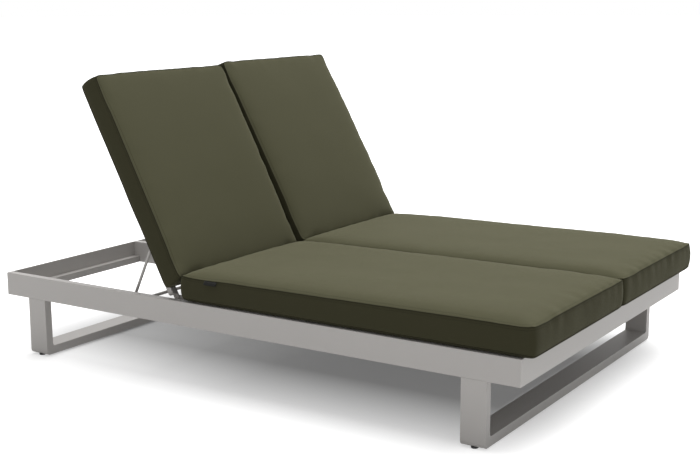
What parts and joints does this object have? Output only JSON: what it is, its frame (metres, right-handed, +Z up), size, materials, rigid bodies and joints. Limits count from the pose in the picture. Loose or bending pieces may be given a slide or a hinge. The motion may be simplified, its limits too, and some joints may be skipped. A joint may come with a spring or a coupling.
{
  "type": "double chaise lounger",
  "caption": "Double outdoor chaise lounger on sled legs, with slatted decks, reclining backrests on notched prop bails, and thick seat and back cushions.",
  "frame": {"origin": "on the floor under the middle of the lounger's bounding box", "axes": "+Y towards the head end, +X to the right as seen from the foot end, +Z up"},
  "size_m": [1.34, 2.04, 1.0057],
  "materials": {
    "frame_paint": "satin powder coat, light warm grey",
    "slat_paint": "satin powder coat, light warm grey",
    "rod_paint": "satin powder coat, light warm grey",
    "steel_hardware": "plain stainless steel",
    "glide_nylon": "matt black",
    "cushion_fabric": "matt woven outdoor fabric, olive"
  },
  "bodies": {
    "frame": {"bracket_screws": "steel_hardware", "centre_beam": "frame_paint", "foot_rail": "frame_paint", "foot_sled_leg": "frame_paint", "glide_feet": "glide_nylon", "head_rail": "frame_paint", "head_sled_leg": "frame_paint", "hinge_bracket_left_inner": "frame_paint", "hinge_bracket_left_outer": "frame_paint", "hinge_bracket_right_inner": "frame_paint", "hinge_bracket_right_outer": "frame_paint", "hinge_rail_left": "frame_paint", "hinge_rail_right": "frame_paint", "leg_bolts": "steel_hardware", "leg_nuts": "steel_hardware", "pivot_bolts": "steel_hardware", "pivot_nuts": "steel_hardware", "prop_rack_left_inner": "frame_paint", "prop_rack_left_outer": "frame_paint", "prop_rack_right_inner": "frame_paint", "prop_rack_right_outer": "frame_paint", "rack_screws": "steel_hardware", "seat_cushion_left": "cushion_fabric", "seat_cushion_right": "cushion_fabric", "seat_ledges_left": "frame_paint", "seat_ledges_right": "frame_paint", "seat_slat_screws_left": "steel_hardware", "seat_slat_screws_right": "steel_hardware", "seat_slats_left": "slat_paint", "seat_slats_right": "slat_paint", "side_rail_left": "frame_paint", "side_rail_right": "frame_paint"},
    "backrest_left": {"back_cushion_left": "cushion_fabric", "back_lower_tube_left": "frame_paint", "back_side_tube_left_inner": "frame_paint", "back_side_tube_left_outer": "frame_paint", "back_slats_left": "slat_paint", "back_top_tube_left": "frame_paint", "hinge_tongues_left": "frame_paint", "prop_pins_left": "steel_hardware", "tongue_screws_left": "steel_hardware"},
    "backrest_right": {"back_cushion_right": "cushion_fabric", "back_lower_tube_right": "frame_paint", "back_side_tube_right_inner": "frame_paint", "back_side_tube_right_outer": "frame_paint", "back_slats_right": "slat_paint", "back_top_tube_right": "frame_paint", "hinge_tongues_right": "frame_paint", "prop_pins_right": "steel_hardware", "tongue_screws_right": "steel_hardware"},
    "prop_left": {"prop_crossbar_left": "rod_paint", "prop_legs_left": "rod_paint"},
    "prop_right": {"prop_crossbar_right": "rod_paint", "prop_legs_right": "rod_paint"}
  },
  "joints": [
    {"name": "backrest_left_hinge", "type": "hinge", "parent": "frame", "child": "backrest_left", "pos_m": [-0.32875, 0.278, 0.2765], "axis": [1, 0, 0], "range_deg": [-62, 0]},
    {"name": "prop_left_swing", "type": "hinge", "parent": "backrest_left", "child": "prop_left", "pos_m": [-0.32875, 0.37508, 0.45908], "axis": [1, 0, 0], "range_deg": [0, 117.5]},
    {"name": "backrest_right_hinge", "type": "hinge", "parent": "frame", "child": "backrest_right", "pos_m": [0.32875, 0.278, 0.2765], "axis": [1, 0, 0], "range_deg": [-62, 0]},
    {"name": "prop_right_swing", "type": "hinge", "parent": "backrest_right", "child": "prop_right", "pos_m": [0.32875, 0.37508, 0.45908], "axis": [1, 0, 0], "range_deg": [0, 117.5]}
  ],
  "couplings": [
    {"joint": "prop_left_swing", "follows": "backrest_left_hinge", "ratio": -1.895},
    {"joint": "prop_right_swing", "follows": "backrest_right_hinge", "ratio": -1.895}
  ]
}
